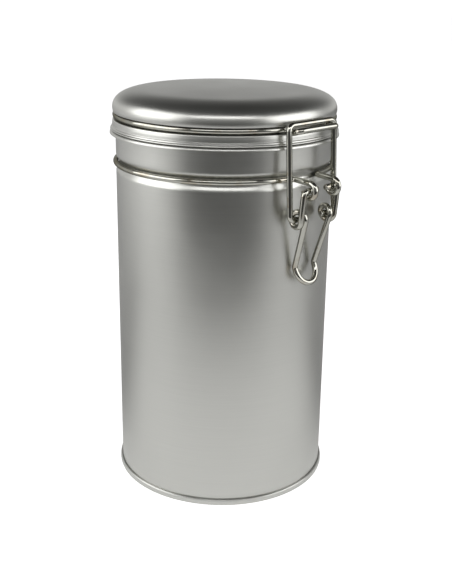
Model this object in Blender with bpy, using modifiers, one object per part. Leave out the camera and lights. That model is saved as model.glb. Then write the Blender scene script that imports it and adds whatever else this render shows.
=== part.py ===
"""Clip-top food canister: a round tinplate can with a wire-bail lid.

Millimetres are used for every dimension below and turned into metres when the
geometry is made. The axis of the can is +Z, it stands on z = 0, the clasp is
at -Y (the front) and the hinge is at +Y (the back). The lid is shut and latched.
"""
import bpy
from math import acos, asin, atan2, cos, degrees, hypot, pi, radians, sin

from mathutils import Vector

MM = 0.001
TURN_STEPS = 48

# --- can and lid, sheet metal -------------------------------------------------
SHEET = 0.3
CAN_RADIUS = 43.0
SEAM_RADIUS = 43.95
SEAM_HEIGHT = 2.75
BASE_PANEL_Z = 4.2
BASE_GAP = 0.35
CURL_RADIUS = 1.3
CURL_Z = 143.25
LID_RADIUS = 44.05
LID_TOP_Z = 160.6
LID_DOME_RISE = 1.3
LID_SHOULDER_R = 30.0
LID_SHOULDER_Z = 152.5
LID_SHOULDER_POWER = 2.6
LID_HEM_RADIUS = 45.0
LID_HEM_Z = 144.6
LID_STEP_Z = 146.1

# --- wire ---------------------------------------------------------------------
WIRE = 2.2
WIRE_GAP = 0.3
BEND = 2.0
BODY_HOOP_RADIUS = 43.05
BODY_HOOP_Z = 131.8
LID_HOOP_RADIUS = 42.95
LID_HOOP_Z = 150.1
GROOVE_RADIUS = WIRE / 2 + 0.35
GROOVE_LIP_ABOVE = 2.6
GROOVE_LIP_BELOW = 3.4
CURL_END = -30
EYE_RADIUS = 2.75

# --- clasp, at the front --------------------------------------------------------
LEVER_PIVOT_Y = -51.2
LEVER_PIVOT_Z = 128.8
EYE_X = 6.4
LEVER_PIN_TIP_X = 2.2
LEVER_ARM_X = 9.3
COIL_RADIUS = 2.75
COIL_PITCH = 2.5
BAIL_PIVOT_Y = -47.3
BAIL_PIVOT_Z = 117.65
LEVER_TOUCH_Y = -(CAN_RADIUS + WIRE / 2 + WIRE_GAP)
FINGER_X = 5.35
FINGER_TOP_Z = 98.0
FINGER_STRAIGHT = 1.0
FINGER_DEPTH = 5.25
FINGER_LEAN = 0.5
BAIL_HOOK_TIP_X = 4.7
BAIL_LEG_X = 12.2
BAIL_BAR_Y = -45.45
BAIL_BAR_Z = 152.0
CATCH_X = 9.9
CATCH_Y = -49.1
CATCH_Z = 150.4

# --- hinge, at the back ---------------------------------------------------------
HINGE_Y = 50.6
HINGE_Z = 146.5
HINGE_EYE_X = 6.0
HINGE_LEG_X = 10.0


# --- outlines and paths -----------------------------------------------------------
def arc(centre, radius, start, end, count):
    """Points on a circle in a plane, from start to end degrees, both included."""
    step = (end - start) / (count - 1)
    angles = [radians(start + step * i) for i in range(count)]
    return [(centre[0] + radius * cos(a), centre[1] + radius * sin(a)) for a in angles]


def offset(path, distance):
    """The path moved sideways to its right by distance, with mitred corners."""
    moved = []
    for i, point in enumerate(path):
        before = Vector(path[max(i - 1, 0)])
        here = Vector(point)
        after = Vector(path[min(i + 1, len(path) - 1)])
        normals = []
        for a, b in ((before, here), (here, after)):
            if (b - a).length > 1e-9:
                along = (b - a).normalized()
                normals.append(Vector((along.y, -along.x)))
        mean = sum(normals, Vector((0.0, 0.0))).normalized()
        moved.append(tuple(here + mean * (distance / mean.dot(normals[0]))))
    return moved


def rounded(points, radius, steps=4):
    """A 3D polyline whose inner corners are replaced by arcs of the bend radius."""
    points = [Vector(p) for p in points]
    path = [points[0]]
    for before, corner, after in zip(points, points[1:], points[2:]):
        a = (before - corner).normalized()
        b = (after - corner).normalized()
        turn = pi - a.angle(b)
        reach = radius / (1 / max(sin(turn / 2), 1e-6) * cos(turn / 2))
        centre = corner + (a + b).normalized() * (radius / cos(turn / 2))
        start = corner + a * reach - centre
        end = corner + b * reach - centre
        for i in range(steps + 1):
            t = i / steps
            weight_a = sin((1 - t) * turn) / sin(turn)
            weight_b = sin(t * turn) / sin(turn)
            path.append(centre + start * weight_a + end * weight_b)
    path.append(points[-1])
    return path


def mirrored(half):
    """A whole path from the half at x > 0 that ends on x = 0, or starts there."""
    half = [Vector(p) for p in half]
    other = [Vector((-p.x, p.y, p.z)) for p in half]
    if abs(half[-1].x) < 1e-6:
        return half + other[-2::-1]
    return other[:0:-1] + half


# --- object makers -------------------------------------------------------------------
def material(name, colour, metallic, roughness):
    made = bpy.data.materials.new(name)
    made.use_nodes = True
    shader = made.node_tree.nodes["Principled BSDF"]
    shader.inputs["Base Color"].default_value = (*colour, 1.0)
    shader.inputs["Metallic"].default_value = metallic
    shader.inputs["Roughness"].default_value = roughness
    made.diffuse_color = (*colour, 1.0)
    return made


def turned(name, outline, look, collection, closed=True):
    """A solid of revolution about Z from an (r, z) outline that runs top to bottom outside."""
    mesh = bpy.data.meshes.new(name)
    vertices = [(r * MM, 0.0, z * MM) for r, z in outline]
    edges = [(i, i + 1) for i in range(len(outline) - 1)]
    if closed:
        edges.append((len(outline) - 1, 0))
    mesh.from_pydata(vertices, edges, [])
    made = bpy.data.objects.new(name, mesh)
    collection.objects.link(made)
    screw = made.modifiers.new("Turn", "SCREW")
    screw.steps = TURN_STEPS
    screw.render_steps = TURN_STEPS
    screw.use_merge_vertices = True
    screw.merge_threshold = 0.00001
    screw.use_smooth_shade = True
    mesh.materials.append(look)
    return made


def wire(name, points, look, collection, pivot=(0.0, 0.0, 0.0)):
    """A round wire along points, with its origin at pivot."""
    curve = bpy.data.curves.new(name, "CURVE")
    curve.dimensions = "3D"
    curve.bevel_depth = WIRE / 2 * MM
    curve.bevel_resolution = 2
    curve.use_fill_caps = True
    spline = curve.splines.new("POLY")
    spline.points.add(len(points) - 1)
    origin = Vector(pivot)
    for slot, point in zip(spline.points, points):
        slot.co = (*((Vector(point) - origin) * MM), 1.0)
    made = bpy.data.objects.new(name, curve)
    made.location = origin * MM
    collection.objects.link(made)
    curve.materials.append(look)
    return made


# --- sheet-metal pieces -----------------------------------------------------------------
def can_wall(look, collection):
    """Body blank: straight wall, rolled groove for the body hoop, neck and mouth curl."""
    inner = CAN_RADIUS - SHEET
    curl_centre = (inner + CURL_RADIUS, CURL_Z)
    groove_centre = (BODY_HOOP_RADIUS, BODY_HOOP_Z)
    outside = arc(curl_centre, CURL_RADIUS - SHEET, CURL_END, 180, 8)
    outside[-1] = (CAN_RADIUS, CURL_Z)
    outside.append((CAN_RADIUS, BODY_HOOP_Z + GROOVE_LIP_ABOVE))
    outside += arc(groove_centre, GROOVE_RADIUS, 130, 230, 6)
    outside.append((CAN_RADIUS, BODY_HOOP_Z - GROOVE_LIP_BELOW))
    outside.append((CAN_RADIUS, BASE_GAP + SHEET))
    inside = offset(outside, SHEET)
    return turned("can_wall", outside + inside[::-1], look, collection)


def base_end(look, collection):
    """End disc: recessed panel, chuck wall and the channel of the double seam."""
    chuck_outer = CAN_RADIUS - SHEET - WIRE_GAP
    chuck_inner = chuck_outer - SHEET
    lip_inner = CAN_RADIUS + WIRE_GAP
    skirt_inner = SEAM_RADIUS - SHEET - 0.05
    outline = [
        (0.0, BASE_PANEL_Z + SHEET),
        (chuck_outer - 1.0, BASE_PANEL_Z + SHEET),
        (chuck_outer, BASE_PANEL_Z - 0.6),
        (chuck_outer, SHEET),
        (skirt_inner, SHEET),
        (skirt_inner, SEAM_HEIGHT - 0.9),
        (lip_inner, SEAM_HEIGHT - 0.25),
        (lip_inner + 0.25, SEAM_HEIGHT),
        (SEAM_RADIUS, SEAM_HEIGHT - 0.6),
        (SEAM_RADIUS, 0.35),
        (SEAM_RADIUS - 0.35, 0.0),
        (chuck_inner, 0.0),
        (chuck_inner, BASE_PANEL_Z - 0.6),
        (chuck_inner - 0.7, BASE_PANEL_Z),
        (0.0, BASE_PANEL_Z),
    ]
    return turned("base_end", outline, look, collection, closed=False)


def lid_top_height(r):
    """Height of the cap's top at r: a low dome that runs into the rolled shoulder."""
    rise = LID_TOP_Z - LID_SHOULDER_Z - LID_DOME_RISE
    out = max(r - LID_SHOULDER_R, 0.0) / (LID_RADIUS - LID_SHOULDER_R)
    shoulder = rise * max(1 - out ** LID_SHOULDER_POWER, 0.0) ** (1 / LID_SHOULDER_POWER)
    return LID_SHOULDER_Z + shoulder + LID_DOME_RISE * (1 - (r / LID_RADIUS) ** 2)


def lid_cap(look, collection):
    """Pressed cap: domed top, rolled shoulder, groove for the lid hoop, and a hemmed flange."""
    radii = (0.0, 15.0, 25.0, 31.0, 34.5, 37.0, 39.0, 40.7, 42.1, 43.2, 43.85, LID_RADIUS)
    outside = [(r, lid_top_height(r)) for r in radii]
    outside += arc((LID_HOOP_RADIUS, LID_HOOP_Z), GROOVE_RADIUS, 55, 275, 8)
    outside += [
        (LID_RADIUS - 0.35, LID_HOOP_Z - GROOVE_RADIUS - 0.05),
        (LID_RADIUS, LID_HOOP_Z - GROOVE_RADIUS - 0.5),
        (LID_RADIUS + 0.16, LID_STEP_Z),
        (LID_RADIUS + 0.45, LID_STEP_Z - 0.3),
        (LID_RADIUS + 0.5, LID_STEP_Z - 0.75),
        (LID_HEM_RADIUS - 0.1, LID_STEP_Z - 1.0),
        (LID_HEM_RADIUS, LID_HEM_Z + 0.3),
        (LID_HEM_RADIUS, LID_HEM_Z + 0.15),
        (LID_HEM_RADIUS - 0.25, LID_HEM_Z),
    ]
    inside = offset(outside, SHEET)
    inside[0] = (0.0, LID_TOP_Z - SHEET)
    return turned("lid_cap", outside + inside[::-1], look, collection, closed=False)


def gasket(look, collection):
    """Sealing ring: its upper part sits inside the cap's flange, its foot on the mouth curl."""
    foot_z = CURL_Z + CURL_RADIUS + WIRE_GAP
    outline = [
        (41.9, foot_z + 2.6),
        (43.2, foot_z + 2.6),
        (43.25, foot_z + 1.7),
        (43.55, foot_z + 1.1),
        (43.85, foot_z + 0.4),
        (43.75, foot_z),
        (42.1, foot_z),
        (41.6, foot_z + 0.5),
    ]
    return turned("gasket", outline, look, collection)


# --- wire pieces --------------------------------------------------------------------------
def into_groove(x, side, hoop_radius, bend, steps=4):
    """Plan arc from a wire that runs along Y at x into the hoop's circle, and its end azimuth.

    side is -1 at the front and +1 at the back. The azimuth is counted from the Y axis.
    """
    reach = hoop_radius + bend
    centre_x = x + bend
    azimuth = asin(centre_x / reach)
    centre_y = side * reach * cos(azimuth)
    points = []
    for i in range(steps + 1):
        a = pi - (pi / 2 - azimuth) * i / steps
        points.append((centre_x + bend * cos(a), centre_y - side * bend * sin(a)))
    return points, azimuth


def hoop_arc(radius, height, start, end, step=7.5):
    """The hoop between two azimuths in radians, counted from -Y towards +X, ends left out."""
    count = max(int(degrees(end - start) / step), 1)
    angles = [start + (end - start) * i / count for i in range(1, count)]
    return [(radius * sin(a), -radius * cos(a), height) for a in angles]


def eye(x, y, z, side, steps=9):
    """Eyelet loop from its free end round to its top, in the plane of x."""
    points = []
    for i in range(steps):
        a = radians(262 - 262 * i / (steps - 1))
        points.append((x, y + side * EYE_RADIUS * sin(a), z + EYE_RADIUS * cos(a)))
    return points


def body_hoop(look, collection):
    """One wire: lever eyelets at the front, the ring in the can's groove, the hinge bar behind."""
    front, front_azimuth = into_groove(EYE_X, -1, BODY_HOOP_RADIUS, 2.4)
    back, back_azimuth = into_groove(HINGE_LEG_X, 1, BODY_HOOP_RADIUS, 2.4)
    half = eye(EYE_X, LEVER_PIVOT_Y, LEVER_PIVOT_Z, -1)
    half += [(x, y, BODY_HOOP_Z) for x, y in front]
    half += hoop_arc(BODY_HOOP_RADIUS, BODY_HOOP_Z, front_azimuth, pi - back_azimuth)
    half += [(x, y, BODY_HOOP_Z) for x, y in back[::-1]]
    bar = [
        half[-1],
        (HINGE_LEG_X, HINGE_Y, BODY_HOOP_Z),
        (HINGE_LEG_X, HINGE_Y, HINGE_Z),
        (0.0, HINGE_Y, HINGE_Z),
    ]
    half += rounded(bar, BEND)[1:]
    return wire("body_hoop", mirrored(half), look, collection)


def lid_hoop(look, collection):
    """One wire: the catch at the front, the ring in the cap's groove, hinge eyelets behind."""
    front, front_azimuth = into_groove(CATCH_X, -1, LID_HOOP_RADIUS, BEND)
    back, back_azimuth = into_groove(HINGE_EYE_X, 1, LID_HOOP_RADIUS, BEND)
    run_in = front[0]
    catch = [
        (0.0, CATCH_Y, CATCH_Z),
        (CATCH_X, CATCH_Y, CATCH_Z),
        (CATCH_X, BAIL_BAR_Y, CATCH_Z - 1.15),
        (run_in[0], run_in[1], LID_HOOP_Z - 0.1),
    ]
    half = rounded(catch, 1.6)
    half += [(x, y, LID_HOOP_Z) for x, y in front[1:]]
    half += hoop_arc(LID_HOOP_RADIUS, LID_HOOP_Z, front_azimuth, pi - back_azimuth)
    half += [(x, y, LID_HOOP_Z) for x, y in back[::-1]]
    half += eye(HINGE_EYE_X, HINGE_Y, HINGE_Z, 1)[::-1]
    return wire("lid_hoop", mirrored(half), look, collection, (0.0, HINGE_Y, HINGE_Z))


def lever(look, collection):
    """One wire: pivot pins, arms, a spring coil on each arm, a V and the finger loop."""
    across = BAIL_PIVOT_Y - LEVER_PIVOT_Y
    down = LEVER_PIVOT_Z - BAIL_PIVOT_Z
    reach = hypot(across, down)
    # angles on the coil are counted from -Y (outward) towards +Z
    start = atan2(down, across) - acos(COIL_RADIUS / reach)
    leave = -2 * pi - radians(17)
    pin = [
        (LEVER_PIN_TIP_X, LEVER_PIVOT_Y, LEVER_PIVOT_Z),
        (LEVER_ARM_X, LEVER_PIVOT_Y, LEVER_PIVOT_Z),
        coil_point(LEVER_ARM_X, start),
    ]
    half = rounded(pin, BEND)
    steps = 26
    for i in range(1, steps + 1):
        a = start + (leave - start) * i / steps
        half.append(coil_point(LEVER_ARM_X - COIL_PITCH * (start - a) / (2 * pi), a))
    loop = finger_loop()
    half += rounded([half[-1], (FINGER_X, LEVER_TOUCH_Y, FINGER_TOP_Z), loop[0]], BEND, 3)[1:]
    half += loop[1:]
    pivot = (0.0, LEVER_PIVOT_Y, LEVER_PIVOT_Z)
    return wire("lever", mirrored(half), look, collection, pivot)


def coil_point(x, angle):
    """A point on the lever's coil round the bail's hook."""
    return (x, BAIL_PIVOT_Y - COIL_RADIUS * cos(angle), BAIL_PIVOT_Z + COIL_RADIUS * sin(angle))


def finger_loop(steps=5):
    """Half of the U that joins the V's arms, leaning outward as it goes down."""
    points = []
    for i in range(steps + 1):
        a = radians(90 * i / steps)
        drop = FINGER_STRAIGHT + FINGER_DEPTH * sin(a)
        points.append((FINGER_X * cos(a), LEVER_TOUCH_Y - FINGER_LEAN * drop, FINGER_TOP_Z - drop))
    return points


def bail(look, collection):
    """One wire: hooks in the lever's coils, two legs and the bar that holds the catch down."""
    half = [
        (BAIL_HOOK_TIP_X, BAIL_PIVOT_Y, BAIL_PIVOT_Z),
        (BAIL_LEG_X, BAIL_PIVOT_Y, BAIL_PIVOT_Z),
        (BAIL_LEG_X, BAIL_BAR_Y, BAIL_BAR_Z),
        (0.0, BAIL_BAR_Y, BAIL_BAR_Z),
    ]
    pivot = (0.0, BAIL_PIVOT_Y, BAIL_PIVOT_Z)
    return wire("bail", mirrored(rounded(half, BEND)), look, collection, pivot)


def main():
    for old in list(bpy.data.objects):
        bpy.data.objects.remove(old, do_unlink=True)
    parts = bpy.data.collections.new("food_canister")
    bpy.context.scene.collection.children.link(parts)

    tinplate = material("tinplate", (0.60, 0.60, 0.575), 1.0, 0.32)
    nickel_wire = material("nickel_wire", (0.66, 0.64, 0.61), 1.0, 0.14)
    silicone = material("silicone", (0.82, 0.81, 0.77), 0.0, 0.45)

    can_wall(tinplate, parts)
    base_end(tinplate, parts)
    body_hoop(nickel_wire, parts)
    cap = lid_cap(tinplate, parts)
    seal = gasket(silicone, parts)
    lid_ring = lid_hoop(nickel_wire, parts)
    lever_wire = lever(nickel_wire, parts)
    bail_wire = bail(nickel_wire, parts)

    bpy.context.view_layer.update()
    for child, parent in ((cap, lid_ring), (seal, lid_ring), (bail_wire, lever_wire)):
        child.parent = parent
        child.matrix_parent_inverse = parent.matrix_world.inverted()


main()
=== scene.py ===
"""Looks of the clip-top food canister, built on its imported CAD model.

Sizes are in millimetres and turned into metres when a mesh is made. The axis of the
can is +Z, it stands on z = 0, the clasp is at -Y (the front), the hinge at +Y (the back).
"""
from math import acos, asin, atan2, cos, degrees, hypot, pi, radians, sin, tan

import bmesh
import bpy
from mathutils import Matrix, Vector


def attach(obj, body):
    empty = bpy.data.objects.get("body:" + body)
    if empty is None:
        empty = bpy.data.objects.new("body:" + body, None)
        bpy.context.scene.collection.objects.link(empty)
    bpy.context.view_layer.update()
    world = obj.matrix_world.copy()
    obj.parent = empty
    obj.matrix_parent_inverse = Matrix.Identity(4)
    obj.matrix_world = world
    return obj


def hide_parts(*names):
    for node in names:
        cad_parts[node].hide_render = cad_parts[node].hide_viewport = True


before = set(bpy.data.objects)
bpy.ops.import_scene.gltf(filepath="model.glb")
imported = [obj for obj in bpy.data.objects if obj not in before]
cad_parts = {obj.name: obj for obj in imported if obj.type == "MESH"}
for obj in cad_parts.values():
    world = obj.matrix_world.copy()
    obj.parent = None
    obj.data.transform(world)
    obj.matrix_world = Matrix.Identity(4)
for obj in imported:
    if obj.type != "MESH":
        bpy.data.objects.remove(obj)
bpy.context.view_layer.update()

MM = 0.001

# --- can and lid, as in the CAD -------------------------------------------------------
SHEET = 0.3
CAN_RADIUS = 43.0
SEAM_RADIUS = 43.95
SEAM_HEIGHT = 2.75
BASE_PANEL_Z = 4.2
BASE_GAP = 0.35
CURL_Z = 143.25
CURL_CENTRE_R = 44.0
LID_RADIUS = 44.05
LID_TOP_Z = 160.6
LID_DOME_RISE = 1.3
LID_SHOULDER_R = 30.0
LID_SHOULDER_Z = 152.5
LID_SHOULDER_POWER = 2.6
LID_HEM_RADIUS = 45.0
LID_HEM_Z = 144.6
LID_STEP_Z = 146.1
SEAL_FOOT_Z = CURL_Z + 1.6

# --- wire, as in the CAD --------------------------------------------------------------
WIRE_RADIUS = 1.1
WIRE_GAP = 0.3
BEND = 2.0
HOOP_BEND = 2.4
CATCH_BEND = 1.6
BODY_HOOP_RADIUS = 43.05
BODY_HOOP_Z = 131.8
LID_HOOP_RADIUS = 42.95
LID_HOOP_Z = 150.1
GROOVE_RADIUS = WIRE_RADIUS + 0.35
GROOVE_LIP_ABOVE = 2.6
GROOVE_LIP_BELOW = 3.4
EYE_TURN = 262
LEVER_PIVOT_Y = -51.2
LEVER_PIVOT_Z = 128.8
EYE_X = 6.4
LEVER_PIN_TIP_X = 2.2
LEVER_ARM_X = 9.3
COIL_RADIUS = 2.75
COIL_PITCH = 2.5
COIL_LEAVE = 17
BAIL_PIVOT_Y = -47.3
BAIL_PIVOT_Z = 117.65
LEVER_TOUCH_Y = -(CAN_RADIUS + WIRE_RADIUS + WIRE_GAP)
FINGER_X = 5.35
FINGER_TOP_Z = 98.0
FINGER_STRAIGHT = 1.0
FINGER_DEPTH = 5.25
FINGER_LEAN = 0.5
BAIL_HOOK_TIP_X = 4.7
BAIL_LEG_X = 12.2
BAIL_BAR_Y = -45.45
BAIL_BAR_Z = 152.0
CATCH_X = 9.9
CATCH_Y = -49.1
CATCH_Z = 150.4
CATCH_DIP = 1.15
HINGE_Y = 50.6
HINGE_Z = 146.5
HINGE_EYE_X = 6.0
HINGE_LEG_X = 10.0

# --- less than in the CAD, to stay inside its box: the mouth's roll and the eyelets ----
CURL_RADIUS = 1.238
CURL_END = -8
EYE_RADIUS = 2.7

# --- looks only -----------------------------------------------------------------------
WELD_WIDTH = 3.0
WELD_HEIGHT = 0.14
PANEL_RINGS = (14.0, 27.0, 35.5)
PANEL_RING_DEPTH = 0.45
WIRE_EASE = 0.22

# --- how finely the shapes are drawn --------------------------------------------------
TURN_STEPS = 288
WIRE_SIDES = 20
SHARP_ANGLE = 38


# --- outlines and paths ---------------------------------------------------------------
def arc(centre, radius, start, end, count):
    """Points on a circle in a plane, from start to end degrees, both included."""
    step = (end - start) / (count - 1)
    angles = [radians(start + step * i) for i in range(count)]
    return [(centre[0] + radius * cos(a), centre[1] + radius * sin(a)) for a in angles]


def offset(path, distance):
    """The path moved sideways to its right by distance, with mitred corners."""
    moved = []
    for i, point in enumerate(path):
        before = Vector(path[max(i - 1, 0)])
        here = Vector(point)
        after = Vector(path[min(i + 1, len(path) - 1)])
        normals = []
        for a, b in ((before, here), (here, after)):
            if (b - a).length > 1e-9:
                along = (b - a).normalized()
                normals.append(Vector((along.y, -along.x)))
        mean = sum(normals, Vector((0.0, 0.0))).normalized()
        moved.append(tuple(here + mean * (distance / mean.dot(normals[0]))))
    return moved


def rounded(points, radius, steps=14):
    """A polyline whose inner corners are replaced by arcs of the bend radius."""
    points = [Vector(p) for p in points]
    path = [points[0]]
    for before, corner, after in zip(points, points[1:], points[2:]):
        a = (before - corner).normalized()
        b = (after - corner).normalized()
        turn = pi - a.angle(b)
        reach = radius * tan(turn / 2)
        centre = corner + (a + b).normalized() * (radius / cos(turn / 2))
        start = corner + a * reach - centre
        end = corner + b * reach - centre
        for i in range(steps + 1):
            t = i / steps
            weight_a = sin((1 - t) * turn) / sin(turn)
            weight_b = sin(t * turn) / sin(turn)
            path.append(centre + start * weight_a + end * weight_b)
    path.append(points[-1])
    return path


def eased(points, radius, steps=6):
    """An (r, z) outline with each inner corner rounded by at most that radius."""
    points = [Vector(p) for p in points]
    path = [points[0]]
    for before, corner, after in zip(points, points[1:], points[2:]):
        a, b = before - corner, after - corner
        turn = pi - a.angle(b)
        if turn < radians(1.5):
            path.append(corner)
            continue
        reach = min(radius * tan(turn / 2), 0.45 * a.length, 0.45 * b.length)
        start, end = corner + a.normalized() * reach, corner + b.normalized() * reach
        for i in range(steps + 1):
            t = i / steps
            path.append(start * (1 - t) ** 2 + corner * 2 * t * (1 - t) + end * t * t)
    path.append(points[-1])
    return [tuple(p) for p in path]


def mirrored(half):
    """A whole path from the half at x > 0 that ends on x = 0, or starts there."""
    half = [Vector(p) for p in half]
    other = [Vector((-p.x, p.y, p.z)) for p in half]
    if abs(half[-1].x) < 1e-6:
        return half + other[-2::-1]
    return other[:0:-1] + half


def without_repeats(points, least=0.02):
    """The path without points that lie on each other."""
    kept = [Vector(points[0])]
    for point in points[1:]:
        if (Vector(point) - kept[-1]).length > least:
            kept.append(Vector(point))
    return kept


# --- mesh makers ----------------------------------------------------------------------
def piece(name, mesh, look, slot, body, *nodes):
    """A shown piece: smooth shaded, in its material, riding on its body for its CAD nodes."""
    made = bpy.data.objects.new(name, mesh)
    bpy.context.scene.collection.objects.link(made)
    mesh.materials.append(look)
    work = bmesh.new()
    work.from_mesh(mesh)
    bmesh.ops.recalc_face_normals(work, faces=work.faces)
    work.to_mesh(mesh)
    work.free()
    for face in mesh.polygons:
        face.use_smooth = True
    mesh.set_sharp_from_angle(angle=radians(SHARP_ANGLE))
    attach(made, body)
    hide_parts(*nodes)


def turned(name, outline, closed=True, bulge=None):
    """A mesh of revolution about Z from an (r, z) outline. bulge gives what is added to r."""
    mesh = bpy.data.meshes.new(name)
    vertices, rings, faces = [], [], []
    for r, z in outline:
        if r < 1e-6:
            rings.append([len(vertices)] * TURN_STEPS)
            vertices.append((0.0, 0.0, z * MM))
            continue
        ring = []
        for i in range(TURN_STEPS):
            a = 2 * pi * i / TURN_STEPS
            reach = r + (bulge(a, r, z) if bulge else 0.0)
            ring.append(len(vertices))
            vertices.append((reach * sin(a) * MM, -reach * cos(a) * MM, z * MM))
        rings.append(ring)
    pairs = list(zip(rings, rings[1:]))
    if closed:
        pairs.append((rings[-1], rings[0]))
    for upper, lower in pairs:
        for i in range(TURN_STEPS):
            j = (i + 1) % TURN_STEPS
            corners = []
            for v in (upper[i], upper[j], lower[j], lower[i]):
                if v not in corners:
                    corners.append(v)
            faces.append(corners)
    mesh.from_pydata(vertices, [], faces)
    return mesh


def eased_end(ring, inward):
    """Three rings from the full wire out to its cut end. inward is 1 at the start, -1 at the end."""
    centre, along, across = ring[:3]
    return [
        (centre + along * (inward * WIRE_EASE), along, across, WIRE_RADIUS),
        (centre + along * (inward * WIRE_EASE * 0.3), along, across, WIRE_RADIUS - WIRE_EASE * 0.3),
        (centre, along, across, WIRE_RADIUS - WIRE_EASE),
    ]


def wire(name, points):
    """A round wire mesh along points, with its cut ends slightly eased."""
    points = without_repeats(points)
    tangents = []
    for i, point in enumerate(points):
        before, after = points[max(i - 1, 0)], points[min(i + 1, len(points) - 1)]
        tangents.append((after - before).normalized())
    side = tangents[0].orthogonal().normalized()
    rings = []
    for point, along in zip(points, tangents):
        side = (side - along * side.dot(along)).normalized()
        rings.append((point, along, side.copy(), WIRE_RADIUS))
    rings = eased_end(rings[0], 1)[::-1] + rings[1:-1] + eased_end(rings[-1], -1)
    vertices, faces = [], []
    for centre, along, across, reach in rings:
        other = along.cross(across)
        for k in range(WIRE_SIDES):
            a = 2 * pi * k / WIRE_SIDES
            vertices.append((centre + across * reach * cos(a) + other * reach * sin(a)) * MM)
    for i in range(len(rings) - 1):
        for k in range(WIRE_SIDES):
            m = (k + 1) % WIRE_SIDES
            base = i * WIRE_SIDES
            faces.append((base + k, base + m, base + WIRE_SIDES + m, base + WIRE_SIDES + k))
    end = (len(rings) - 1) * WIRE_SIDES
    faces.append(tuple(reversed(range(WIRE_SIDES))))
    faces.append(tuple(range(end, end + WIRE_SIDES)))
    mesh = bpy.data.meshes.new(name)
    mesh.from_pydata(vertices, [], faces)
    return mesh


# --- sheet-metal outlines -------------------------------------------------------------
def side_seam(azimuth, r, z):
    """The lap of the body blank, a low raised strip down the back of the wall."""
    if not SEAM_HEIGHT + 0.2 < z < BODY_HOOP_Z - 3.2 or r < CAN_RADIUS - 0.1:
        return 0.0
    away = abs(azimuth - pi) * CAN_RADIUS
    return WELD_HEIGHT * max(0.0, min(1.0, (WELD_WIDTH / 2 + 0.4 - away) / 0.5))


def can_wall():
    """Wall with a mouth curl at the top and a rolled groove for the body hoop."""
    curl = arc((CURL_CENTRE_R, CURL_Z), CURL_RADIUS - SHEET, CURL_END, 180, 34)
    curl[-1] = (CAN_RADIUS + 0.06, CURL_Z)
    groove = [(CAN_RADIUS, BODY_HOOP_Z + GROOVE_LIP_ABOVE + 2.6)]
    groove += [(CAN_RADIUS, BODY_HOOP_Z + GROOVE_LIP_ABOVE)]
    groove += arc((BODY_HOOP_RADIUS, BODY_HOOP_Z), GROOVE_RADIUS, 130, 230, 25)
    groove += [(CAN_RADIUS - 0.72, BODY_HOOP_Z - GROOVE_LIP_BELOW + 1.5)]
    groove += [(CAN_RADIUS, BODY_HOOP_Z - GROOVE_LIP_BELOW)]
    groove += [(CAN_RADIUS, BODY_HOOP_Z - GROOVE_LIP_BELOW - 2.6)]
    outside = curl + [(CAN_RADIUS, CURL_Z - 0.6)] + eased(groove, 3.0)
    top, bottom = outside[-1][1], BASE_GAP + SHEET
    stops = [SEAM_HEIGHT + 0.5, SEAM_HEIGHT + 0.1]
    outside += [(CAN_RADIUS, top + (stops[0] - top) * i / 24) for i in range(1, 25)]
    outside += [(CAN_RADIUS, stops[1]), (CAN_RADIUS, bottom)]
    return turned("wall", outside + offset(outside, SHEET)[::-1], bulge=side_seam)


def base_end():
    """End disc: ringed panel, countersink and the double seam round the wall's edge."""
    chuck_outer = CAN_RADIUS - SHEET - WIRE_GAP
    chuck_inner = chuck_outer - SHEET
    skirt_inner = SEAM_RADIUS - SHEET - 0.05
    lip_inner = CAN_RADIUS + 0.05
    rings = []
    for r in PANEL_RINGS:
        rings += [(r - 1.4, 0.0), (r - 0.7, -0.22), (r, -PANEL_RING_DEPTH)]
        rings += [(r + 0.7, -0.22), (r + 1.4, 0.0)]
    panel = [(0.0, 0.0)] + rings + [(chuck_outer - 1.6, 0.0)]
    inside = [(r, BASE_PANEL_Z + SHEET + drop) for r, drop in panel]
    inside += [(chuck_outer, BASE_PANEL_Z - 0.8), (chuck_outer, SHEET)]
    inside = eased(inside, 0.9)
    skirt = [
        (skirt_inner, SHEET),
        (skirt_inner, SEAM_HEIGHT - 0.9),
        (lip_inner, SEAM_HEIGHT - 0.55),
        (lip_inner, SEAM_HEIGHT - 0.05),
        (lip_inner + 0.35, SEAM_HEIGHT),
        (SEAM_RADIUS - 0.12, SEAM_HEIGHT - 0.38),
        (SEAM_RADIUS, SEAM_HEIGHT - 1.0),
        (SEAM_RADIUS, 0.85),
        (SEAM_RADIUS - 0.14, 0.36),
        (SEAM_RADIUS - 0.4, 0.08),
        (SEAM_RADIUS - 0.75, 0.0),
        (chuck_inner + 0.25, 0.0),
        (chuck_inner, 0.25),
        (chuck_inner, BASE_PANEL_Z - 0.8 - SHEET),
    ]
    under = [(r, BASE_PANEL_Z + drop) for r, drop in panel]
    outline = inside + eased(skirt, 0.35, 4)[:-1] + eased([skirt[-1]] + under[::-1], 0.9)
    return turned("end", outline, closed=False)


def lid_top_height(r):
    """Height of the cap's top at r: a low dome that runs into the rolled shoulder."""
    rise = LID_TOP_Z - LID_SHOULDER_Z - LID_DOME_RISE
    out = max(r - LID_SHOULDER_R, 0.0) / (LID_RADIUS - LID_SHOULDER_R)
    shoulder = rise * max(1 - out ** LID_SHOULDER_POWER, 0.0) ** (1 / LID_SHOULDER_POWER)
    return LID_SHOULDER_Z + shoulder + LID_DOME_RISE * (1 - (r / LID_RADIUS) ** 2)


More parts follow.
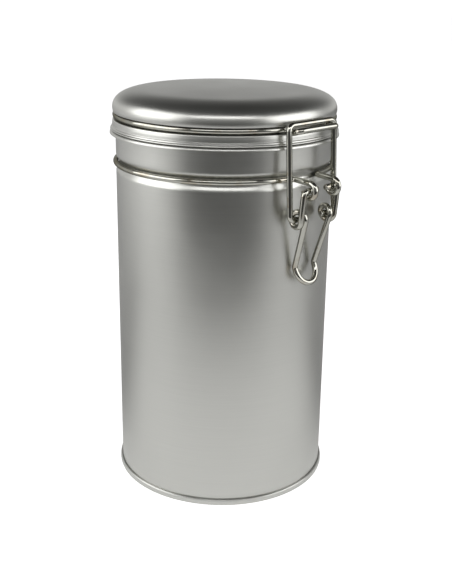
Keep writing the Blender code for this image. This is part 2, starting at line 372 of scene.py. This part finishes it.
def lid_cap():
    """Pressed cap: domed top, rolled shoulder, hoop groove, stepped flange and hemmed edge."""
    radii = [LID_SHOULDER_R * i / 16 for i in range(16)]
    shoulder = [sin(radians(90 * i / 48)) for i in range(49)]
    radii += [LID_SHOULDER_R + (LID_RADIUS - LID_SHOULDER_R) * part for part in shoulder]
    outside = [(r, lid_top_height(r)) for r in radii]
    groove = [(LID_RADIUS, LID_HOOP_Z + 1.9)]
    groove += arc((LID_HOOP_RADIUS, LID_HOOP_Z), GROOVE_RADIUS, 55, 275, 33)
    groove += [
        (LID_RADIUS - 0.45, LID_HOOP_Z - GROOVE_RADIUS - 0.02),
        (LID_RADIUS - 0.1, LID_HOOP_Z - GROOVE_RADIUS - 0.12),
        (LID_RADIUS, LID_HOOP_Z - GROOVE_RADIUS - 0.5),
        (LID_RADIUS + 0.12, LID_STEP_Z + 1.1),
        (LID_RADIUS + 0.16, LID_STEP_Z),
        (LID_RADIUS + 0.45, LID_STEP_Z - 0.3),
        (LID_RADIUS + 0.5, LID_STEP_Z - 0.75),
        (LID_HEM_RADIUS - 0.1, LID_STEP_Z - 1.0),
        (LID_HEM_RADIUS, LID_HEM_Z + 0.3),
        (LID_HEM_RADIUS, LID_HEM_Z + 0.15),
        (LID_HEM_RADIUS - 0.25, LID_HEM_Z),
    ]
    outside += eased(groove, 0.3)[1:]
    inside = offset(outside, SHEET)
    inside[0] = (0.0, LID_TOP_Z - SHEET)
    return turned("cap", outside + inside[::-1], closed=False)


def gasket():
    """Sealing ring inside the cap's flange, with a rounded foot on the mouth curl."""
    foot_z = SEAL_FOOT_Z
    outline = [
        (41.9, foot_z + 2.6),
        (43.2, foot_z + 2.6),
        (43.25, foot_z + 1.7),
        (43.55, foot_z + 1.1),
        (43.85, foot_z + 0.4),
        (43.75, foot_z),
        (42.1, foot_z),
        (41.6, foot_z + 0.5),
    ]
    start = (42.5, foot_z + 2.6)
    return turned("seal", eased([start] + outline[1:] + [outline[0], start], 0.4)[:-1])


# --- wire paths -----------------------------------------------------------------------
def into_groove(x, side, hoop_radius, bend, steps=16):
    """Plan arc from a wire along Y at x into the hoop's circle, and its end azimuth."""
    reach = hoop_radius + bend
    centre_x = x + bend
    azimuth = asin(centre_x / reach)
    centre_y = side * reach * cos(azimuth)
    points = []
    for i in range(steps + 1):
        a = pi - (pi / 2 - azimuth) * i / steps
        points.append((centre_x + bend * cos(a), centre_y - side * bend * sin(a)))
    return points, azimuth


def hoop_arc(radius, height, start, end, step=1.5):
    """The hoop between two azimuths in radians, counted from -Y towards +X, ends left out."""
    count = max(int(degrees(end - start) / step), 1)
    angles = [start + (end - start) * i / count for i in range(1, count)]
    return [(radius * sin(a), -radius * cos(a), height) for a in angles]


def eye(x, y, z, side, steps=44):
    """Eyelet loop from its free end round to its top, in the plane of x."""
    points = []
    for i in range(steps):
        a = radians(EYE_TURN - EYE_TURN * i / (steps - 1))
        points.append((x, y + side * EYE_RADIUS * sin(a), z + EYE_RADIUS * cos(a)))
    return points


def body_hoop():
    """One wire: eyelets for the lever, a ring in the can's groove and the hinge bar."""
    front, front_azimuth = into_groove(EYE_X, -1, BODY_HOOP_RADIUS, HOOP_BEND)
    back, back_azimuth = into_groove(HINGE_LEG_X, 1, BODY_HOOP_RADIUS, HOOP_BEND)
    half = eye(EYE_X, LEVER_PIVOT_Y, LEVER_PIVOT_Z, -1)
    half += [(x, y, BODY_HOOP_Z) for x, y in front]
    half += hoop_arc(BODY_HOOP_RADIUS, BODY_HOOP_Z, front_azimuth, pi - back_azimuth)
    half += [(x, y, BODY_HOOP_Z) for x, y in back[::-1]]
    bar = [
        half[-1],
        (HINGE_LEG_X, HINGE_Y, BODY_HOOP_Z),
        (HINGE_LEG_X, HINGE_Y, HINGE_Z),
        (0.0, HINGE_Y, HINGE_Z),
    ]
    half += rounded(bar, BEND)[1:]
    return wire("hoop", mirrored(half))


def lid_hoop():
    """One wire: the catch, a ring in the cap's groove and the hinge eyelets."""
    front, front_azimuth = into_groove(CATCH_X, -1, LID_HOOP_RADIUS, BEND)
    back, back_azimuth = into_groove(HINGE_EYE_X, 1, LID_HOOP_RADIUS, BEND)
    run_in = front[0]
    catch = [
        (0.0, CATCH_Y, CATCH_Z),
        (CATCH_X, CATCH_Y, CATCH_Z),
        (CATCH_X, BAIL_BAR_Y, CATCH_Z - CATCH_DIP),
        (run_in[0], run_in[1], LID_HOOP_Z - 0.1),
    ]
    half = rounded(catch, CATCH_BEND)
    half += [(x, y, LID_HOOP_Z) for x, y in front[1:]]
    half += hoop_arc(LID_HOOP_RADIUS, LID_HOOP_Z, front_azimuth, pi - back_azimuth)
    half += [(x, y, LID_HOOP_Z) for x, y in back[::-1]]
    half += eye(HINGE_EYE_X, HINGE_Y, HINGE_Z, 1)[::-1]
    return wire("hoop", mirrored(half))


def coil_point(x, angle):
    """A point on the lever's coil round the bail's hook."""
    return (x, BAIL_PIVOT_Y - COIL_RADIUS * cos(angle), BAIL_PIVOT_Z + COIL_RADIUS * sin(angle))


def lever():
    """One wire: pins in the eyelets, arms, a coil on each side, the V and the finger loop."""
    across = BAIL_PIVOT_Y - LEVER_PIVOT_Y
    down = LEVER_PIVOT_Z - BAIL_PIVOT_Z
    start = atan2(down, across) - acos(COIL_RADIUS / hypot(across, down))
    leave = -2 * pi - radians(COIL_LEAVE)
    pin = [
        (LEVER_PIN_TIP_X, LEVER_PIVOT_Y, LEVER_PIVOT_Z),
        (LEVER_ARM_X, LEVER_PIVOT_Y, LEVER_PIVOT_Z),
        coil_point(LEVER_ARM_X, start),
    ]
    half = rounded(pin, BEND)
    steps = 120
    for i in range(1, steps + 1):
        a = start + (leave - start) * i / steps
        half.append(coil_point(LEVER_ARM_X - COIL_PITCH * (start - a) / (2 * pi), a))
    loop = finger_loop()
    half += rounded([half[-1], (FINGER_X, LEVER_TOUCH_Y, FINGER_TOP_Z), loop[0]], BEND)[1:]
    half += loop[1:]
    return wire("lever", mirrored(half))


def finger_loop(steps=30):
    """Half of the U that joins the V's arms, leaning outward as it goes down."""
    points = []
    for i in range(steps + 1):
        a = radians(90 * i / steps)
        drop = FINGER_STRAIGHT + FINGER_DEPTH * sin(a)
        points.append((FINGER_X * cos(a), LEVER_TOUCH_Y - FINGER_LEAN * drop, FINGER_TOP_Z - drop))
    return points


def bail():
    """One wire: hooks through the lever's coils, two legs and the bar over the catch."""
    half = [
        (BAIL_HOOK_TIP_X, BAIL_PIVOT_Y, BAIL_PIVOT_Z),
        (BAIL_LEG_X, BAIL_PIVOT_Y, BAIL_PIVOT_Z),
        (BAIL_LEG_X, BAIL_BAR_Y, BAIL_BAR_Z),
        (0.0, BAIL_BAR_Y, BAIL_BAR_Z),
    ]
    return wire("bail", mirrored(rounded(half, BEND)))


# --- shader nodes ---------------------------------------------------------------------
BUMP_DISTANCE = 0.00002


class Graph:
    """A node tree with short helpers. A value is a constant or another node's output."""

    def __init__(self, tree):
        self.tree = tree

    def feed(self, value, entry):
        """Link an output to an input, or set the input to a constant."""
        if isinstance(value, bpy.types.NodeSocket):
            self.tree.links.new(value, entry)
        else:
            entry.default_value = value

    def math(self, how, a, b):
        made = self.tree.nodes.new("ShaderNodeMath")
        made.operation = how
        self.feed(a, made.inputs[0])
        self.feed(b, made.inputs[1])
        return made.outputs["Value"]

    def along(self, place, direction):
        """How far a place lies along a direction."""
        made = self.tree.nodes.new("ShaderNodeVectorMath")
        made.operation = "DOT_PRODUCT"
        self.feed(place, made.inputs[0])
        self.feed(direction, made.inputs[1])
        return made.outputs["Value"]

    def length(self, place):
        made = self.tree.nodes.new("ShaderNodeVectorMath")
        made.operation = "LENGTH"
        self.feed(place, made.inputs[0])
        return made.outputs["Value"]

    def spread(self, value, low, high, to_low, to_high, how="LINEAR"):
        """value from low..high taken to to_low..to_high, and held at the ends."""
        made = self.tree.nodes.new("ShaderNodeMapRange")
        made.interpolation_type = how
        made.inputs["From Min"].default_value = low
        made.inputs["From Max"].default_value = high
        made.inputs["To Min"].default_value = to_low
        made.inputs["To Max"].default_value = to_high
        self.feed(value, made.inputs["Value"])
        return made.outputs["Result"]

    def smooth(self, value, low, high, to_low, to_high):
        """The same as spread, but S-shaped between the ends."""
        return self.spread(value, low, high, to_low, to_high, "SMOOTHSTEP")

    def mix(self, factor, a, b, kind="FLOAT"):
        """A number between a and b, or a colour when kind is RGBA."""
        made = self.tree.nodes.new("ShaderNodeMix")
        made.data_type = kind
        self.feed(factor, made.inputs["Factor"])
        self.feed(a, made.inputs["A"])
        self.feed(b, made.inputs["B"])
        return made.outputs["Result"]


class Look(Graph):
    """A node material whose textures lie in the object's own space."""

    def __init__(self, name, metallic):
        self.material = bpy.data.materials.new(name)
        self.material.use_nodes = True
        super().__init__(self.material.node_tree)
        self.shader = self.tree.nodes["Principled BSDF"]
        self.shader.inputs["Metallic"].default_value = metallic
        self.place = self.tree.nodes.new("ShaderNodeTexCoord").outputs["Object"]

    def mapped(self, place, entry, value):
        """The place after a mapping node with one of its inputs set."""
        made = self.tree.nodes.new("ShaderNodeMapping")
        made.inputs[entry].default_value = value
        self.feed(place, made.inputs["Vector"])
        return made.outputs["Vector"]

    def noise(self, scale, detail, roughness, stretch=(1.0, 1.0, 1.0), turn=0.0):
        """Noise over the object's own space, stretched per axis after a turn about Z."""
        place = self.place
        if turn:
            place = self.mapped(place, "Rotation", (0.0, 0.0, radians(turn)))
        place = self.mapped(place, "Scale", stretch)
        made = self.tree.nodes.new("ShaderNodeTexNoise")
        made.inputs["Scale"].default_value = scale
        made.inputs["Detail"].default_value = detail
        made.inputs["Roughness"].default_value = roughness
        self.feed(place, made.inputs["Vector"])
        return made.outputs["Fac"]

    def finish(self, colour, roughness, height, bump):
        """Colour, roughness and a fine bump on the shader. Returns the material."""
        self.feed(colour, self.shader.inputs["Base Color"])
        self.feed(roughness, self.shader.inputs["Roughness"])
        made = self.tree.nodes.new("ShaderNodeBump")
        made.inputs["Strength"].default_value = bump
        made.inputs["Distance"].default_value = BUMP_DISTANCE
        self.feed(height, made.inputs["Height"])
        self.feed(made.outputs["Normal"], self.shader.inputs["Normal"])
        return self.material


# --- materials ------------------------------------------------------------------------
TIN_LIGHT = (0.630, 0.631, 0.600, 1.0)
TIN_DARK = (0.608, 0.609, 0.580, 1.0)
NICKEL_CLEAN = (0.52, 0.515, 0.465, 1.0)
NICKEL_WORN = (0.42, 0.37, 0.29, 1.0)
NICKEL_EDGE = (0.35, 0.35, 0.32, 1.0)
SEAL_LIGHT = (0.80, 0.79, 0.75, 1.0)
SEAL_DARK = (0.72, 0.71, 0.66, 1.0)
LINES_AROUND = (1.0, 1.0, 120.0)
LINES_ACROSS = (110.0, 1.0, 1.0)


def tinplate(name, grain, turn=0.0):
    """Satin rolled tinplate. grain stretches its fine lines across the rolling direction."""
    look = Look(name, 1.0)
    lines = look.noise(26.0, 2.0, 0.5, grain, turn)
    cloud = look.noise(38.0, 3.0, 0.5)
    tone = look.math("ADD", look.math("MULTIPLY", lines, 0.62), look.math("MULTIPLY", cloud, 0.38))
    colour = look.mix(look.spread(tone, 0.36, 0.64, 0.0, 1.0), TIN_DARK, TIN_LIGHT, "RGBA")
    worn = look.spread(cloud, 0.35, 0.68, 0.30, 0.345)
    rough = look.math("ADD", worn, look.spread(lines, 0.3, 0.7, -0.008, 0.012))
    return look.finish(colour, rough, lines, 0.02)


def nickel():
    """Bright plated wire with faint draw lines and a few warm, duller patches."""
    look = Look("plated_wire", 1.0)
    look.shader.inputs["Specular Tint"].default_value = NICKEL_EDGE
    patches = look.noise(210.0, 3.0, 0.6)
    fine = look.noise(1500.0, 3.0, 0.65)
    colour = look.mix(look.spread(patches, 0.50, 0.72, 0.0, 1.0), NICKEL_CLEAN, NICKEL_WORN, "RGBA")
    worn = look.spread(patches, 0.4, 0.7, 0.04, 0.10)
    rough = look.math("ADD", worn, look.spread(fine, 0.3, 0.7, 0.0, 0.02))
    return look.finish(colour, rough, fine, 0.10)


def silicone():
    """Milky silicone rubber with a soft matt skin."""
    look = Look("seal_rubber", 0.0)
    look.shader.inputs["Subsurface Weight"].default_value = 0.25
    look.shader.inputs["Subsurface Radius"].default_value = (0.004, 0.004, 0.003)
    look.shader.inputs["Subsurface Scale"].default_value = 0.4
    cloud = look.noise(160.0, 4.0, 0.6)
    fine = look.noise(3200.0, 2.0, 0.6)
    colour = look.mix(look.spread(cloud, 0.35, 0.7, 0.0, 1.0), SEAL_LIGHT, SEAL_DARK, "RGBA")
    rough = look.spread(cloud, 0.3, 0.7, 0.40, 0.55)
    return look.finish(colour, rough, fine, 0.3)


# --- pieces ---------------------------------------------------------------------------
rolled = tinplate("tinplate_wall", LINES_AROUND)
pressed = tinplate("tinplate_cap", LINES_ACROSS, 45.0)
plated = nickel()

piece("can_body", can_wall(), rolled, "tinplate", "can", "can_wall")
piece("can_bottom", base_end(), pressed, "tinplate", "can", "base_end")
piece("hoop_on_can", body_hoop(), plated, "nickel_wire", "can", "body_hoop")
piece("lid", lid_cap(), pressed, "tinplate", "lid", "lid_cap")
piece("lid_seal", gasket(), silicone(), "silicone", "lid", "gasket")
piece("hoop_on_lid", lid_hoop(), plated, "nickel_wire", "lid", "lid_hoop")
piece("clasp_lever", lever(), plated, "nickel_wire", "lever", "lever")
piece("clasp_bail", bail(), plated, "nickel_wire", "bail", "bail")


# --- camera, in metres and radians, with its lens and sensor in millimetres -----------
CLASP_AZIMUTH = radians(44)
CAMERA_DISTANCE = 0.37406
CAMERA_HEIGHT = 0.2060
CAMERA_DOWN = 0.3233
CAMERA_YAW = 0.0037
CAMERA_ROLL = 0.0133
CAMERA_SENSOR = 36.0
CAMERA_LENS = 58.24
CAMERA_SHIFT_Y = -0.0202


def to_object(v):
    """A place or direction given as right, away and up from the camera, in the can's own axes."""
    c, s = cos(CLASP_AZIMUTH), sin(CLASP_AZIMUTH)
    return Vector((v[0] * c + v[1] * s, -v[0] * s + v[1] * c, v[2]))


def add_camera():
    """The photo's view: the clasp a little right of the middle, seen from above the lid."""
    level = Vector((sin(CAMERA_YAW), cos(CAMERA_YAW), 0.0))
    forward = level * cos(CAMERA_DOWN) - Vector((0.0, 0.0, sin(CAMERA_DOWN)))
    right = Vector((cos(CAMERA_YAW), -sin(CAMERA_YAW), 0.0))
    up = right.cross(forward)
    c, s = cos(CAMERA_ROLL), sin(CAMERA_ROLL)
    columns = [to_object(right * c + up * s), to_object(up * c - right * s), to_object(-forward)]
    matrix = Matrix(columns).transposed().to_4x4()
    matrix.translation = to_object((0.0, -CAMERA_DISTANCE, CAMERA_HEIGHT))
    data = bpy.data.cameras.new("camera")
    data.sensor_width = CAMERA_SENSOR
    data.lens = CAMERA_LENS
    data.shift_y = CAMERA_SHIFT_Y
    data.clip_start = 0.01
    data.clip_end = 20.0
    made = bpy.data.objects.new("camera", data)
    bpy.context.scene.collection.objects.link(made)
    made.matrix_world = matrix
    bpy.context.scene.camera = made


add_camera()


# --- studio, in metres ----------------------------------------------------------------
TO_CAMERA = to_object((0.0, -1.0, 0.0))
TO_RIGHT = to_object((1.0, 0.0, 0.0))
UP = (0.0, 0.0, 1.0)
LIT_HEIGHT = 0.10
SOFTBOX_DISTANCE = 1.2
FLOOR_SIDE = 3.0
FLOOR_FRONT = -0.27
FLOOR_BACK = 4.0
FLOOR_Z = -0.0002
FLOOR_SHOWN = 0.92
ROOM_SHOWN = 1.1


def softbox(name, azimuth, elevation, width, height, radiance):
    """A soft area light aimed at the can. azimuth is counted from the camera, to its right."""
    a, e = radians(azimuth), radians(elevation)
    back = to_object((sin(a) * cos(e), -cos(a) * cos(e), sin(e)))
    data = bpy.data.lights.new(name, "AREA")
    data.shape = "RECTANGLE"
    data.size, data.size_y = width, height
    data.energy = radiance * pi * width * height
    made = bpy.data.objects.new(name, data)
    bpy.context.scene.collection.objects.link(made)
    made.location = Vector((0.0, 0.0, LIT_HEIGHT)) + back * SOFTBOX_DISTANCE
    made.rotation_mode = "QUATERNION"
    made.rotation_quaternion = back.to_track_quat("Z", "Y")
    made.visible_camera = False


softbox("softbox_left", -76, 24, 1.25, 1.02, 1.85)
softbox("softbox_right", 73, 18, 1.25, 0.86, 1.9)
softbox("softbox_front", 0, 40, 1.30, 0.27, 2.8)


def add_floor():
    """A plain pale table top that ends a short way in front of the can.

    Mirrored in the tin it glows near the can's front and far to the left, and the
    camera sees it as plain white.
    """
    mesh = bpy.data.meshes.new("floor")
    side, front, back = FLOOR_SIDE, FLOOR_FRONT, FLOOR_BACK
    corners = [(-side, front), (side, front), (side, back), (-side, back)]
    mesh.from_pydata([to_object((x, y, FLOOR_Z)) for x, y in corners], [], [(0, 1, 2, 3)])
    made = bpy.data.objects.new("floor", mesh)
    bpy.context.scene.collection.objects.link(made)
    look = Look("floor", 0.0)
    look.shader.inputs["Base Color"].default_value = (0.65, 0.65, 0.65, 1.0)
    look.shader.inputs["Roughness"].default_value = 0.8
    look.shader.inputs["Specular IOR Level"].default_value = 0.1
    look.shader.inputs["Emission Color"].default_value = (1.0, 1.0, 1.0, 1.0)
    in_front = look.smooth(look.along(look.place, TO_CAMERA), -0.07, 0.03, 0.0, 1.0)
    close = look.smooth(look.length(look.place), 0.10, 0.38, 0.40, 0.08)
    far_left = look.smooth(look.along(look.place, TO_RIGHT), -0.90, -0.05, 0.35, 0.0)
    mirrored_glow = look.math("ADD", look.math("MULTIPLY", in_front, close), far_left)
    ray = look.tree.nodes.new("ShaderNodeLightPath")
    glow = look.mix(ray.outputs["Is Camera Ray"], mirrored_glow, FLOOR_SHOWN)
    look.feed(glow, look.shader.inputs["Emission Strength"])
    mesh.materials.append(look.material)


add_floor()


def add_world():
    """A room that is pale behind the can, mid grey beside it and dark in front and overhead.

    The camera sees it as plain white.
    """
    world = bpy.data.worlds.new("studio")
    bpy.context.scene.world = world
    world.use_nodes = True
    room = Graph(world.node_tree)
    nodes, links = room.tree.nodes, room.tree.links
    place = nodes.new("ShaderNodeTexCoord").outputs["Generated"]
    toward = room.along(place, TO_CAMERA)
    right = room.along(place, TO_RIGHT)
    up = room.along(place, UP)
    beside = room.smooth(right, -0.6, 0.6, 0.60, 0.42)
    behind = room.smooth(up, 0.13, 0.48, 0.66, 0.10)
    front = room.smooth(up, -0.12, 0.12, 0.055, 0.19)
    around = room.mix(room.smooth(up, 0.20, 0.74, 0.0, 1.0), beside, 0.07)
    around = room.mix(room.smooth(toward, -0.85, -0.45, 1.0, 0.0), around, behind)
    around = room.mix(room.smooth(toward, 0.40, 0.85, 0.0, 1.0), around, front)
    around = room.mix(room.smooth(up, 0.55, 0.8, 0.0, 1.0), around, 0.04)
    lit = nodes["Background"]
    lit.inputs["Color"].default_value = (1.0, 1.0, 0.985, 1.0)
    links.new(around, lit.inputs["Strength"])
    shown = nodes.new("ShaderNodeBackground")
    shown.inputs["Color"].default_value = (1.0, 1.0, 1.0, 1.0)
    shown.inputs["Strength"].default_value = ROOM_SHOWN
    ray = nodes.new("ShaderNodeLightPath")
    choose = nodes.new("ShaderNodeMixShader")
    links.new(ray.outputs["Is Camera Ray"], choose.inputs["Fac"])
    links.new(lit.outputs["Background"], choose.inputs[1])
    links.new(shown.outputs["Background"], choose.inputs[2])
    links.new(choose.outputs["Shader"], nodes["World Output"].inputs["Surface"])


add_world()
bpy.context.scene.view_settings.view_transform = "Standard"
